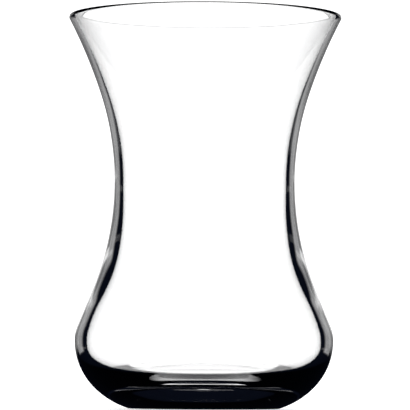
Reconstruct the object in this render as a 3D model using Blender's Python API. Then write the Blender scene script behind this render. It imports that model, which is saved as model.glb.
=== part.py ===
"""A tulip-shaped tea glass in one piece: flared mouth, narrow waist, round belly and a thick base.

Both outlines are chains of arcs that meet without a corner, turned about Z.
Metres, +Z up. The origin is the centre of the foot, on the plane that the glass stands on.
"""

from math import acos, asin, atan2, ceil, cos, pi, sin, sqrt

import bmesh
import bpy

# Driving sizes of the outside
HEIGHT = 0.0850
BELLY_RADIUS = 0.02784
BELLY_HEIGHT = 0.0145
BELLY_ARC = 0.0142
UNDER_BELLY_ARC = 0.0179
UNDER_BELLY_FACING = 44.5 * pi / 180
SHOULDER_ARC = 0.0091
WAIST_RADIUS = 0.0195
WAIST_HEIGHT = 0.0489
LOWER_WAIST_ARC = 0.0624
UPPER_WAIST_ARC = 0.0606
FLARE_ARC = 0.1116
FLARE_LEAN = 18.6 * pi / 180

# Thickness of the wall, square to the outside: thin at the rim and thickest halfway down to the belly
RIM_WALL = 0.0012
WAIST_WALL = 0.0019
SLOPE_WALL = 0.0028
SLOPE_WALL_HEIGHT = 0.0340
SHOULDER_WALL = 0.0024
SHOULDER_WALL_HEIGHT = 0.0225
BELLY_WALL = 0.0026

# The bottom of the inside: a round corner that starts just under the belly, and a floor raised in its middle
BASE_THICKNESS = 0.0079
FLOOR_CORNER = 0.0076
CORNER_FACING = 5.8 * pi / 180

# The underside: a ring to stand on round a shallow dimple
DIMPLE_RADIUS = 0.0139
DIMPLE_DEPTH = 0.00085

# How finely the outlines and the turning are divided
SEGMENTS = 80
ARC_STEP = 10.0 * pi / 180
LONG_STEP = 0.0050
LIP_STEPS = 8

GLASS_COLOUR = (0.97, 0.985, 0.985, 1.0)
GLASS_IOR = 1.52


def clear_scene():
    for obj in list(bpy.data.objects):
        bpy.data.objects.remove(obj, do_unlink=True)


def arc(centre_r, centre_z, radius, start, end, steps=0):
    """Stations (r, z, facing) along an arc, divided by its sweep and length where no steps are given.

    Facing is the tilt of the outward normal from level. A hollow arc has a radius below zero.
    """
    if not steps:
        sweep = abs(end - start)
        steps = ceil(max(sweep / ARC_STEP, sweep * abs(radius) / LONG_STEP))
    stations = []
    for i in range(steps + 1):
        facing = start + (end - start) * i / steps
        stations.append((centre_r + radius * cos(facing), centre_z + radius * sin(facing), facing))
    return stations


def slope_lean():
    """Tilt of the straight wall that touches the shoulder arc and the lower waist arc."""
    both = SHOULDER_ARC + LOWER_WAIST_ARC
    across = both - (BELLY_RADIUS - WAIST_RADIUS)
    up = WAIST_HEIGHT - BELLY_HEIGHT
    straight = sqrt(across ** 2 + up ** 2 - both ** 2)
    return atan2(up, across) - atan2(straight, both)


def flare_centre():
    """Centre of the widest arc, which carries the upper waist arc on to the rim."""
    change = FLARE_ARC - UPPER_WAIST_ARC
    r = WAIST_RADIUS + UPPER_WAIST_ARC + change * cos(FLARE_LEAN)
    z = WAIST_HEIGHT - change * sin(FLARE_LEAN)
    return r, z


def rim_lean():
    """Tilt of the wall where the rounded lip starts, so that its crest comes to the full height."""
    lip = RIM_WALL / 2
    return asin((HEIGHT - lip - flare_centre()[1]) / (FLARE_ARC + lip))


def outside():
    """Stations from the edge of the foot up to the lip."""
    lean = slope_lean()
    flare_r, flare_z = flare_centre()
    belly_r = BELLY_RADIUS - BELLY_ARC
    under_r = belly_r + (BELLY_ARC - UNDER_BELLY_ARC) * cos(UNDER_BELLY_FACING)
    under_z = BELLY_HEIGHT - (BELLY_ARC - UNDER_BELLY_ARC) * sin(UNDER_BELLY_FACING)
    foot_facing = acos(under_z / UNDER_BELLY_ARC) - pi / 2
    stations = arc(under_r, under_z, UNDER_BELLY_ARC, foot_facing, -UNDER_BELLY_FACING)
    stations += arc(belly_r, BELLY_HEIGHT, BELLY_ARC, -UNDER_BELLY_FACING, 0)[1:]
    stations += arc(BELLY_RADIUS - SHOULDER_ARC, BELLY_HEIGHT, SHOULDER_ARC, 0, lean)[1:]
    stations += arc(WAIST_RADIUS + LOWER_WAIST_ARC, WAIST_HEIGHT, -LOWER_WAIST_ARC, lean, 0)
    stations += arc(WAIST_RADIUS + UPPER_WAIST_ARC, WAIST_HEIGHT, -UPPER_WAIST_ARC, 0, -FLARE_LEAN)[1:]
    stations += arc(flare_r, flare_z, -FLARE_ARC, -FLARE_LEAN, -rim_lean())[1:]
    return stations


def ease(value, low, high):
    """0 below low, 1 above high, and a smooth rise between."""
    t = min(max((value - low) / (high - low), 0.0), 1.0)
    return t * t * (3 - 2 * t)


def wall_at(z):
    """Thickness of the wall square to the outside, by the height of the outside."""
    wall = BELLY_WALL + (SHOULDER_WALL - BELLY_WALL) * ease(z, BELLY_HEIGHT, SHOULDER_WALL_HEIGHT)
    wall += (SLOPE_WALL - SHOULDER_WALL) * ease(z, SHOULDER_WALL_HEIGHT, SLOPE_WALL_HEIGHT)
    wall += (WAIST_WALL - SLOPE_WALL) * ease(z, SLOPE_WALL_HEIGHT, WAIST_HEIGHT)
    return wall + (RIM_WALL - WAIST_WALL) * ease(z, WAIST_HEIGHT, HEIGHT)


def lip():
    """The half round of the rim, over the crest from the outside to the inside."""
    lean = rim_lean()
    flare_r, flare_z = flare_centre()
    half = RIM_WALL / 2
    centre_r = flare_r - (FLARE_ARC + half) * cos(lean)
    centre_z = flare_z + (FLARE_ARC + half) * sin(lean)
    round_over = arc(centre_r, centre_z, half, -lean, pi - lean, LIP_STEPS)[1:-1]
    return [(r, z) for r, z, facing in round_over]


def inside():
    """Points from the lip down the wall, round the corner and over the raised floor to the axis."""
    points = []
    for r, z, facing in reversed(outside()):
        if z > BELLY_HEIGHT:
            wall = wall_at(z)
            points.append((r - wall * cos(facing), z - wall * sin(facing)))
    belly_r = BELLY_RADIUS - BELLY_ARC
    hollow = BELLY_ARC - BELLY_WALL
    corner_r = belly_r + (hollow - FLOOR_CORNER) * cos(CORNER_FACING)
    corner_z = BELLY_HEIGHT - (hollow - FLOOR_CORNER) * sin(CORNER_FACING)
    drop = corner_z - BASE_THICKNESS
    dome = (corner_r ** 2 + drop ** 2 - FLOOR_CORNER ** 2) / (2 * (FLOOR_CORNER - drop))
    dome_lean = atan2(corner_r, dome + drop)
    belly = arc(belly_r, BELLY_HEIGHT, hollow, 0, -CORNER_FACING)
    corner = arc(corner_r, corner_z, FLOOR_CORNER, -CORNER_FACING, -pi / 2 - dome_lean)[1:]
    floor = arc(0, BASE_THICKNESS - dome, dome, pi / 2 - dome_lean, pi / 2)[1:]
    return points + [(r, z) for r, z, facing in belly + corner + floor]


def underside():
    """Points from the axis out over the dimple to the inner edge of the standing ring."""
    arch = (DIMPLE_RADIUS ** 2 + DIMPLE_DEPTH ** 2) / (2 * DIMPLE_DEPTH)
    reach = asin(DIMPLE_RADIUS / arch)
    dimple = arc(0, DIMPLE_DEPTH - arch, arch, pi / 2, pi / 2 - reach)
    return [(r, z) for r, z, facing in dimple]


def outline():
    """The closed half section from the underside, up the outside, over the lip and down the inside."""
    return underside() + [(r, z) for r, z, facing in outside()] + lip() + inside()


def turned(name, points):
    """A closed body turned from a half section whose two ends lie on the axis."""
    bm = bmesh.new()
    bottom = bm.verts.new((0, 0, points[0][1]))
    top = bm.verts.new((0, 0, points[-1][1]))
    rings = []
    for r, z in points[1:-1]:
        ring = []
        for i in range(SEGMENTS):
            angle = 2 * pi * i / SEGMENTS
            ring.append(bm.verts.new((r * cos(angle), r * sin(angle), z)))
        rings.append(ring)
    for i in range(SEGMENTS):
        j = (i + 1) % SEGMENTS
        bm.faces.new((bottom, rings[0][j], rings[0][i]))
        for low, high in zip(rings, rings[1:]):
            bm.faces.new((low[i], low[j], high[j], high[i]))
        bm.faces.new((rings[-1][i], rings[-1][j], top))
    for face in bm.faces:
        face.smooth = True
    mesh = bpy.data.meshes.new(name)
    bm.to_mesh(mesh)
    bm.free()
    body = bpy.data.objects.new(name, mesh)
    bpy.context.scene.collection.objects.link(body)
    return body


def clear_glass():
    material = bpy.data.materials.new("clear_glass")
    material.use_nodes = True
    shader = material.node_tree.nodes["Principled BSDF"]
    shader.inputs["Base Color"].default_value = GLASS_COLOUR
    shader.inputs["Roughness"].default_value = 0.01
    shader.inputs["IOR"].default_value = GLASS_IOR
    shader.inputs["Transmission Weight"].default_value = 1.0
    material.diffuse_color = (0.80, 0.87, 0.88, 0.45)
    return material


clear_scene()
glass = turned("glass", outline())
glass.data.materials.append(clear_glass())
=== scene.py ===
"""An empty tulip-shaped tea glass in clear glass, on a plain pale floor in soft studio light.

Metres, +Z up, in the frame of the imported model. The camera looks along +Y.
"""

from collections import namedtuple
from math import acos, asin, atan2, ceil, cos, pi, radians, sin, sqrt

import bmesh
import bpy
from mathutils import Matrix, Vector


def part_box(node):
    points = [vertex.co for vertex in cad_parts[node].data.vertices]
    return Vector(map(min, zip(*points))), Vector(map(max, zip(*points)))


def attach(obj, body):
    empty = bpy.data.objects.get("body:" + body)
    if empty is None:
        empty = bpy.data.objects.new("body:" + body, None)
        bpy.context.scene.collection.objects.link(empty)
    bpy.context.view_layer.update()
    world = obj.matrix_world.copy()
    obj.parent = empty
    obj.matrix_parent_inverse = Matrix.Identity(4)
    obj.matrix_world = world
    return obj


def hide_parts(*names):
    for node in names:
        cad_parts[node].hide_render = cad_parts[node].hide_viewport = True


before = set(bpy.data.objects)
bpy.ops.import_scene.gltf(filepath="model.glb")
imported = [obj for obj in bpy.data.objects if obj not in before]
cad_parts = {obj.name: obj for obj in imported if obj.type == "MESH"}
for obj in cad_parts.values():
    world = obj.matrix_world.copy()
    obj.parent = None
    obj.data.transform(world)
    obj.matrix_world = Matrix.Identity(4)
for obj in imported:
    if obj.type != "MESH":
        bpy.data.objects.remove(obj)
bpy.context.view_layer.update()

# Outline of the glass, as shares of its height
BELLY_RADIUS = 0.32753
BELLY_HEIGHT = 0.17059
BELLY_ARC = 0.16706
UNDER_BELLY_ARC = 0.21059
UNDER_BELLY_FACING = radians(44.5)
SHOULDER_ARC = 0.10706
WAIST_RADIUS = 0.22941
WAIST_HEIGHT = 0.57529
LOWER_WAIST_ARC = 0.73412
UPPER_WAIST_ARC = 0.71294
FLARE_ARC = 1.31294
FLARE_LEAN = radians(18.6)

# Thickness of the wall, square to the outside, and the heights between which it changes, as such shares
RIM_WALL = 0.01412
WAIST_WALL = 0.02235
SLOPE_WALL = 0.03294
SLOPE_WALL_HEIGHT = 0.40000
SHOULDER_WALL = 0.02824
SHOULDER_WALL_HEIGHT = 0.26471
BELLY_WALL = 0.03059

# Bottom of the inside and the underside, as shares of the height
BASE_THICKNESS = 0.09294
FLOOR_CORNER = 0.08941
CORNER_FACING = radians(5.8)
DIMPLE_RADIUS = 0.16353
DIMPLE_DEPTH = 0.01

# How finely the outlines and the turning are divided
SEGMENTS = 240
ARC_STEP = radians(2.0)
LONG_STEP = 0.012
LIP_STEPS = 20

GLASS_COLOUR = (1.0, 1.0, 1.0, 1.0)
GLASS_IOR = 1.52
GLASS_ROUGHNESS = 0.0

# Waviness of the surface: waves per metre, layers of finer waves on them, and their depth in metres
WAVE_SCALE = 70.0
WAVE_LAYERS = 1.0
WAVE_DEPTH = 0.00004

# The floor: its radius and how far it is under the foot, its sides, colour and roughness, and how much it
# glows, so that it stays white
FLOOR_RADIUS = 4.0
FLOOR_GAP = 0.0002
FLOOR_SIDES = 96
FLOOR_COLOUR = (0.9, 0.9, 0.9, 1.0)
FLOOR_ROUGHNESS = 0.9
FLOOR_GLOW = 0.5

# The white all round. Light through both walls gets only its steep share, except from the gentle rises,
# which are in degrees from level and have soft ends.
WHITE = (1.0, 1.0, 1.0, 1.0)
WHITE_STRENGTH = 1.35
GENTLE_RISES = (-40, 20)
GENTLE_SOFT = 4
STEEP_SHARE = 0.45

# The dark flags between the windows
FLAG_COLOUR = (0.34, 0.47, 1.0, 1.0)
FLAG_STRENGTH = 0.007

# A window is bright between two turns and two rises, in degrees, with soft edges of the widths given.
# A rise is from level. A turn is from straight behind the glass, but a panel's or a slot's is from the
# nearest of behind, left, right and ahead. A window with an open start or end has no edge there.
Window = namedtuple("Window", "strength turns rises soft_turn soft_rise")
OPEN_START = -60
OPEN_END = 240

# Four pairs of side panels, longer and with a foot below them for light from within the glass
PANEL = Window(0.45, turns=(14, 31), rises=(-2, 14), soft_turn=8, soft_rise=4)
LONG_PANEL = Window(0.45, turns=(14, 31), rises=(-9, 14), soft_turn=8, soft_rise=4)
PANEL_FOOT = Window(0.45, turns=(14, 31), rises=(-9, -3), soft_turn=8, soft_rise=2)

# Four low slots, large windows ahead of the glass, one overhead, and a glow behind
SLOT = Window(1.15, turns=(OPEN_START, 16), rises=(2.5, 7.5), soft_turn=8, soft_rise=2)
LEVEL_AHEAD = Window(0.20, turns=(100, OPEN_END), rises=(-15, 25), soft_turn=20, soft_rise=8)
HIGH_AHEAD = Window(0.50, turns=(80, OPEN_END), rises=(25, 65), soft_turn=20, soft_rise=10)
LOW_AHEAD = Window(0.35, turns=(125, OPEN_END), rises=(-60, -12), soft_turn=20, soft_rise=8)
CEILING = Window(0.50, turns=(OPEN_START, OPEN_END), rises=(47, 95), soft_turn=20, soft_rise=4)
GLOW_BEHIND = Window(0.80, turns=(OPEN_START, 30), rises=(-12, 60), soft_turn=12, soft_rise=10)

# The camera: its place in metres from the middle of the foot, its upward pitch and its roll in degrees, and
# its focal length in pixels of a square picture
IMAGE_WIDTH = 410
CAMERA_DISTANCE = 0.7286
CAMERA_HEIGHT = 0.01016
CAMERA_ASIDE = 0.0001
CAMERA_PITCH = 2.65
CAMERA_ROLL = 0.25
FOCAL_PIXELS = 3376.0
SENSOR_WIDTH = 36.0


def arc(centre_r, centre_z, radius, start, end, steps=0):
    """Stations (r, z, facing) along an arc, divided by its sweep and length where no steps are given.

    Facing is the tilt of the outward normal from level. A hollow arc has a radius below zero.
    """
    if not steps:
        sweep = abs(end - start)
        steps = ceil(max(sweep / ARC_STEP, sweep * abs(radius) / LONG_STEP))
    stations = []
    for i in range(steps + 1):
        facing = start + (end - start) * i / steps
        stations.append((centre_r + radius * cos(facing), centre_z + radius * sin(facing), facing))
    return stations


def slope_lean():
    """Tilt of the straight wall that touches the shoulder arc and the lower waist arc."""
    both = SHOULDER_ARC + LOWER_WAIST_ARC
    across = both - (BELLY_RADIUS - WAIST_RADIUS)
    up = WAIST_HEIGHT - BELLY_HEIGHT
    straight = sqrt(across ** 2 + up ** 2 - both ** 2)
    return atan2(up, across) - atan2(straight, both)


def flare_centre():
    """Centre of the widest arc, which carries the upper waist arc on to the rim."""
    change = FLARE_ARC - UPPER_WAIST_ARC
    r = WAIST_RADIUS + UPPER_WAIST_ARC + change * cos(FLARE_LEAN)
    z = WAIST_HEIGHT - change * sin(FLARE_LEAN)
    return r, z


def rim_lean():
    """Tilt of the wall where the rounded lip starts, so that its crest comes to the full height."""
    lip = RIM_WALL / 2
    return asin((1 - lip - flare_centre()[1]) / (FLARE_ARC + lip))


def straight_run(low, high):
    """Stations between two stations on a straight wall, so that its thickness can change smoothly."""
    high_r, high_z, facing = high
    low_r, low_z, facing = low
    steps = ceil((high_z - low_z) / LONG_STEP)
    stations = []
    for i in range(1, steps):
        share = i / steps
        stations.append((low_r + (high_r - low_r) * share, low_z + (high_z - low_z) * share, facing))
    return stations


def outside():
    """Stations from the edge of the foot up to the lip."""
    lean = slope_lean()
    flare_r, flare_z = flare_centre()
    belly_r = BELLY_RADIUS - BELLY_ARC
    under_r = belly_r + (BELLY_ARC - UNDER_BELLY_ARC) * cos(UNDER_BELLY_FACING)
    under_z = BELLY_HEIGHT - (BELLY_ARC - UNDER_BELLY_ARC) * sin(UNDER_BELLY_FACING)
    foot_facing = acos(under_z / UNDER_BELLY_ARC) - pi / 2
    stations = arc(under_r, under_z, UNDER_BELLY_ARC, foot_facing, -UNDER_BELLY_FACING)
    stations += arc(belly_r, BELLY_HEIGHT, BELLY_ARC, -UNDER_BELLY_FACING, 0)[1:]
    stations += arc(BELLY_RADIUS - SHOULDER_ARC, BELLY_HEIGHT, SHOULDER_ARC, 0, lean)[1:]
    waist = arc(WAIST_RADIUS + LOWER_WAIST_ARC, WAIST_HEIGHT, -LOWER_WAIST_ARC, lean, 0)
    stations += straight_run(stations[-1], waist[0]) + waist
    stations += arc(WAIST_RADIUS + UPPER_WAIST_ARC, WAIST_HEIGHT, -UPPER_WAIST_ARC, 0, -FLARE_LEAN)[1:]
    stations += arc(flare_r, flare_z, -FLARE_ARC, -FLARE_LEAN, -rim_lean())[1:]
    return stations


def ease(value, low, high):
    """0 below low, 1 above high, and a smooth rise between."""
    t = min(max((value - low) / (high - low), 0.0), 1.0)
    return t * t * (3 - 2 * t)


def wall_at(z):
    """Thickness of the wall square to the outside, by the height of the outside."""
    wall = BELLY_WALL + (SHOULDER_WALL - BELLY_WALL) * ease(z, BELLY_HEIGHT, SHOULDER_WALL_HEIGHT)
    wall += (SLOPE_WALL - SHOULDER_WALL) * ease(z, SHOULDER_WALL_HEIGHT, SLOPE_WALL_HEIGHT)
    wall += (WAIST_WALL - SLOPE_WALL) * ease(z, SLOPE_WALL_HEIGHT, WAIST_HEIGHT)
    return wall + (RIM_WALL - WAIST_WALL) * ease(z, WAIST_HEIGHT, 1)


def lip():
    """The half round of the rim, over the crest from the outside to the inside."""
    lean = rim_lean()
    flare_r, flare_z = flare_centre()
    half = RIM_WALL / 2
    centre_r = flare_r - (FLARE_ARC + half) * cos(lean)
    centre_z = flare_z + (FLARE_ARC + half) * sin(lean)
    round_over = arc(centre_r, centre_z, half, -lean, pi - lean, LIP_STEPS)[1:-1]
    return [(r, z) for r, z, facing in round_over]


def inside():
    """Points from the lip down the wall, round the corner and over the raised floor to the axis."""
    points = []
    for r, z, facing in reversed(outside()):
        if z > BELLY_HEIGHT:
            wall = wall_at(z)
            points.append((r - wall * cos(facing), z - wall * sin(facing)))
    belly_r = BELLY_RADIUS - BELLY_ARC
    hollow = BELLY_ARC - BELLY_WALL
    corner_r = belly_r + (hollow - FLOOR_CORNER) * cos(CORNER_FACING)
    corner_z = BELLY_HEIGHT - (hollow - FLOOR_CORNER) * sin(CORNER_FACING)
    drop = corner_z - BASE_THICKNESS
    dome = (corner_r ** 2 + drop ** 2 - FLOOR_CORNER ** 2) / (2 * (FLOOR_CORNER - drop))
    dome_lean = atan2(corner_r, dome + drop)
    belly = arc(belly_r, BELLY_HEIGHT, hollow, 0, -CORNER_FACING)
    corner = arc(corner_r, corner_z, FLOOR_CORNER, -CORNER_FACING, -pi / 2 - dome_lean)[1:]
    floor = arc(0, BASE_THICKNESS - dome, dome, pi / 2 - dome_lean, pi / 2)[1:]
    return points + [(r, z) for r, z, facing in belly + corner + floor]


def underside():
    """Points from the axis out over the dimple to the inner edge of the standing ring."""
    arch = (DIMPLE_RADIUS ** 2 + DIMPLE_DEPTH ** 2) / (2 * DIMPLE_DEPTH)
    reach = asin(DIMPLE_RADIUS / arch)
    dimple = arc(0, DIMPLE_DEPTH - arch, arch, pi / 2, pi / 2 - reach)
    return [(r, z) for r, z, facing in dimple]


def outline():
    """The closed half section from the underside, up the outside, over the lip and down the inside."""
    return underside() + [(r, z) for r, z, facing in outside()] + lip() + inside()


def turned(name, points):
    """A closed body turned from a half section whose two ends lie on the axis."""
    bm = bmesh.new()
    bottom = bm.verts.new((0, 0, points[0][1]))
    top = bm.verts.new((0, 0, points[-1][1]))
    rings = []
    for r, z in points[1:-1]:
        ring = []
        for i in range(SEGMENTS):
            angle = 2 * pi * i / SEGMENTS
            ring.append(bm.verts.new((r * cos(angle), r * sin(angle), z)))
        rings.append(ring)
    for i in range(SEGMENTS):
        j = (i + 1) % SEGMENTS
        bm.faces.new((bottom, rings[0][j], rings[0][i]))
        for low, high in zip(rings, rings[1:]):
            bm.faces.new((low[i], low[j], high[j], high[i]))
        bm.faces.new((rings[-1][i], rings[-1][j], top))
    for face in bm.faces:
        face.smooth = True
    mesh = bpy.data.meshes.new(name)
    bm.to_mesh(mesh)
    bm.free()
    body = bpy.data.objects.new(name, mesh)
    bpy.context.scene.collection.objects.link(body)
    return body


def clear_glass():
    """Clear glass, with the faint waviness of a pressed surface."""
    material = bpy.data.materials.new("clear_glass")
    material.use_nodes = True
    tree = material.node_tree
    shader = tree.nodes["Principled BSDF"]
    shader.inputs["Base Color"].default_value = GLASS_COLOUR
    shader.inputs["Roughness"].default_value = GLASS_ROUGHNESS
    shader.inputs["IOR"].default_value = GLASS_IOR
    shader.inputs["Transmission Weight"].default_value = 1.0
    coordinates = tree.nodes.new("ShaderNodeTexCoord")
    waves = tree.nodes.new("ShaderNodeTexNoise")
    waves.inputs["Scale"].default_value = WAVE_SCALE
    waves.inputs["Detail"].default_value = WAVE_LAYERS
    bump = tree.nodes.new("ShaderNodeBump")
    bump.inputs["Strength"].default_value = 1.0
    bump.inputs["Distance"].default_value = WAVE_DEPTH
    tree.links.new(coordinates.outputs["Object"], waves.inputs["Vector"])
    tree.links.new(waves.outputs["Fac"], bump.inputs["Height"])
    tree.links.new(bump.outputs["Normal"], shader.inputs["Normal"])
    return material


def make_glass():
    """The finely turned glass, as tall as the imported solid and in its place."""
    low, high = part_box("glass")
    height = high.z - low.z
    points = [(r * height, low.z + z * height) for r, z in outline()]
    piece = turned("tea_glass", points)
    piece.data.materials.append(clear_glass())
    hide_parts("glass")
    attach(piece, "root")


def make_floor():
    """A plain pale floor, which shows beside the glass and takes its faint shade."""
    bm = bmesh.new()
    bmesh.ops.create_circle(bm, cap_ends=True, segments=FLOOR_SIDES, radius=FLOOR_RADIUS)
    mesh = bpy.data.meshes.new("floor")
    bm.to_mesh(mesh)
    bm.free()
    floor = bpy.data.objects.new("floor", mesh)
    floor.location.z = -FLOOR_GAP
    bpy.context.scene.collection.objects.link(floor)
    material = bpy.data.materials.new("floor")
    material.use_nodes = True
    shader = material.node_tree.nodes["Principled BSDF"]
    shader.inputs["Base Color"].default_value = FLOOR_COLOUR
    shader.inputs["Roughness"].default_value = FLOOR_ROUGHNESS
    shader.inputs["Specular IOR Level"].default_value = 0.0
    shader.inputs["Emission Color"].default_value = WHITE
    shader.inputs["Emission Strength"].default_value = FLOOR_GLOW
    mesh.materials.append(material)
    floor.visible_transmission = False
    floor.visible_glossy = False


def joined(tree, operation, *values):
    """The output of a Math node on sockets or numbers."""
    node = tree.nodes.new("ShaderNodeMath")
    node.operation = operation
    for slot, value in zip(node.inputs, values):
        if isinstance(value, bpy.types.NodeSocket):
            tree.links.new(value, slot)
        else:
            slot.default_value = value
    return node.outputs[0]


def times(tree, first, *others):
    """The product of sockets and numbers."""
    for other in others:
        first = joined(tree, "MULTIPLY", first, other)
    return first


def brightest(tree, first, *others):
    """The highest of sockets and numbers."""
    for other in others:
        first = joined(tree, "MAXIMUM", first, other)
    return first


def at_most(tree, count, most):
    """1 where a whole number is no more than most, and 0 elsewhere."""
    return joined(tree, "LESS_THAN", count, most + 0.5)


def more_than(tree, count, most):
    """1 where a whole number is more than most, and 0 elsewhere."""
    return joined(tree, "GREATER_THAN", count, most + 0.5)


def between(tree, angle, low, high, soft):
    """1 where an angle is between two others, given in degrees, and 0 outside, with soft edges."""
    edges = []
    for edge, step in ((low, soft), (high, -soft)):
        node = tree.nodes.new("ShaderNodeMapRange")
        node.interpolation_type = "SMOOTHSTEP"
        tree.links.new(angle, node.inputs["Value"])
        node.inputs["From Min"].default_value = radians(edge - step / 2)
        node.inputs["From Max"].default_value = radians(edge + step / 2)
        edges.append(node.outputs["Result"])
    return times(tree, *edges)


def window(tree, turn, rise, pane):
    """The light of a soft-edged window, by the turn and the rise that the light comes from."""
    across = between(tree, turn, *pane.turns, pane.soft_turn)
    up = between(tree, rise, *pane.rises, pane.soft_rise)
    return times(tree, across, up, pane.strength)


def directions(tree):
    """Where light comes from: its turn from straight behind, that from the nearest side, and its rise."""
    coordinates = tree.nodes.new("ShaderNodeTexCoord")
    split = tree.nodes.new("ShaderNodeSeparateXYZ")
    tree.links.new(coordinates.outputs["Generated"], split.inputs[0])
    turn = joined(tree, "ABSOLUTE", joined(tree, "ARCTAN2", split.outputs["X"], split.outputs["Y"]))
    quarter = joined(tree, "PINGPONG", turn, pi / 4)
    rise = joined(tree, "ARCSINE", split.outputs["Z"])
    return turn, quarter, rise


def window_light(tree, turn, quarter, rise, crossings, mirrored):
    """Light from the windows, each for the light named beside it. Where two meet, the brighter counts.

    Within means that the light has crossed a surface. The other names say how often it has been mirrored:
    at most once, at most twice, few for up to three times, and many for more.
    """
    within = more_than(tree, crossings, 0)
    once = at_most(tree, mirrored, 1)
    twice = at_most(tree, mirrored, 2)
    few = at_most(tree, mirrored, 3)
    many = more_than(tree, mirrored, 3)
    lights = [
        times(tree, twice, window(tree, quarter, rise, PANEL)),
        times(tree, within, twice, window(tree, quarter, rise, LONG_PANEL)),
        times(tree, within, few, window(tree, quarter, rise, PANEL_FOOT)),
        times(tree, few, window(tree, quarter, rise, SLOT)),
        times(tree, few, window(tree, turn, rise, LEVEL_AHEAD)),
        times(tree, few, window(tree, turn, rise, HIGH_AHEAD)),
        times(tree, few, window(tree, turn, rise, LOW_AHEAD)),
        times(tree, once, window(tree, turn, rise, CEILING)),
        times(tree, many, window(tree, turn, rise, GLOW_BEHIND)),
    ]
    return brightest(tree, *lights)


def white_light(tree, path, rise, crossings, mirrored):
    """The white, for the camera, for the floor, and for light through a single wall or through both."""
    single = times(tree, at_most(tree, mirrored, 0), at_most(tree, crossings, 3))
    gentle = brightest(tree, between(tree, rise, *GENTLE_RISES, GENTLE_SOFT), STEEP_SHARE)
    both = times(tree, more_than(tree, crossings, 3), at_most(tree, mirrored, 3), gentle)
    seen = brightest(tree, path.outputs["Is Camera Ray"], path.outputs["Is Diffuse Ray"])
    return times(tree, brightest(tree, single, both, seen), WHITE_STRENGTH)


def studio():
    """Even white light all round, with soft windows and dark flags that only the glass picks up.

    What the camera and the floor see is white, and so is light that has gone through a single wall without
    being mirrored, or through both walls. Light off the outside, along a wall, through the rim or through
    the base comes from the windows between the flags.
    """
    world = bpy.data.worlds.new("studio")
    world.use_nodes = True
    bpy.context.scene.world = world
    tree = world.node_tree
    turn, quarter, rise = directions(tree)

    # How often the light has crossed a surface and been mirrored; the world counts one mirroring too many
    path = tree.nodes.new("ShaderNodeLightPath")
    crossings = path.outputs["Transmission Depth"]
    mirrored = joined(tree, "SUBTRACT", joined(tree, "SUBTRACT", path.outputs["Ray Depth"], 1), crossings)

    white = white_light(tree, path, rise, crossings, mirrored)
    windows = window_light(tree, turn, quarter, rise, crossings, mirrored)
    lit = tree.nodes["Background"]
    lit.inputs["Color"].default_value = WHITE
    tree.links.new(brightest(tree, white, windows), lit.inputs["Strength"])
    flags = tree.nodes.new("ShaderNodeBackground")
    flags.inputs["Color"].default_value = FLAG_COLOUR
    flags.inputs["Strength"].default_value = FLAG_STRENGTH
    whole = tree.nodes.new("ShaderNodeAddShader")
    tree.links.new(lit.outputs[0], whole.inputs[0])
    tree.links.new(flags.outputs[0], whole.inputs[1])
    tree.links.new(whole.outputs[0], tree.nodes["World Output"].inputs["Surface"])


def make_camera():
    """The camera, low in front of the glass and tilted slightly upwards."""
    data = bpy.data.cameras.new("camera")
    data.sensor_width = SENSOR_WIDTH
    data.lens = FOCAL_PIXELS / IMAGE_WIDTH * SENSOR_WIDTH
    camera = bpy.data.objects.new("camera", data)
    bpy.context.scene.collection.objects.link(camera)
    place = Matrix.Translation((CAMERA_ASIDE, -CAMERA_DISTANCE, CAMERA_HEIGHT))
    aim = Matrix.Rotation(radians(90 + CAMERA_PITCH), 4, "X")
    roll = Matrix.Rotation(radians(CAMERA_ROLL), 4, "Z")
    camera.matrix_world = place @ aim @ roll
    bpy.context.scene.camera = camera


make_glass()
make_floor()
studio()
make_camera()
bpy.context.scene.view_settings.view_transform = "Standard"
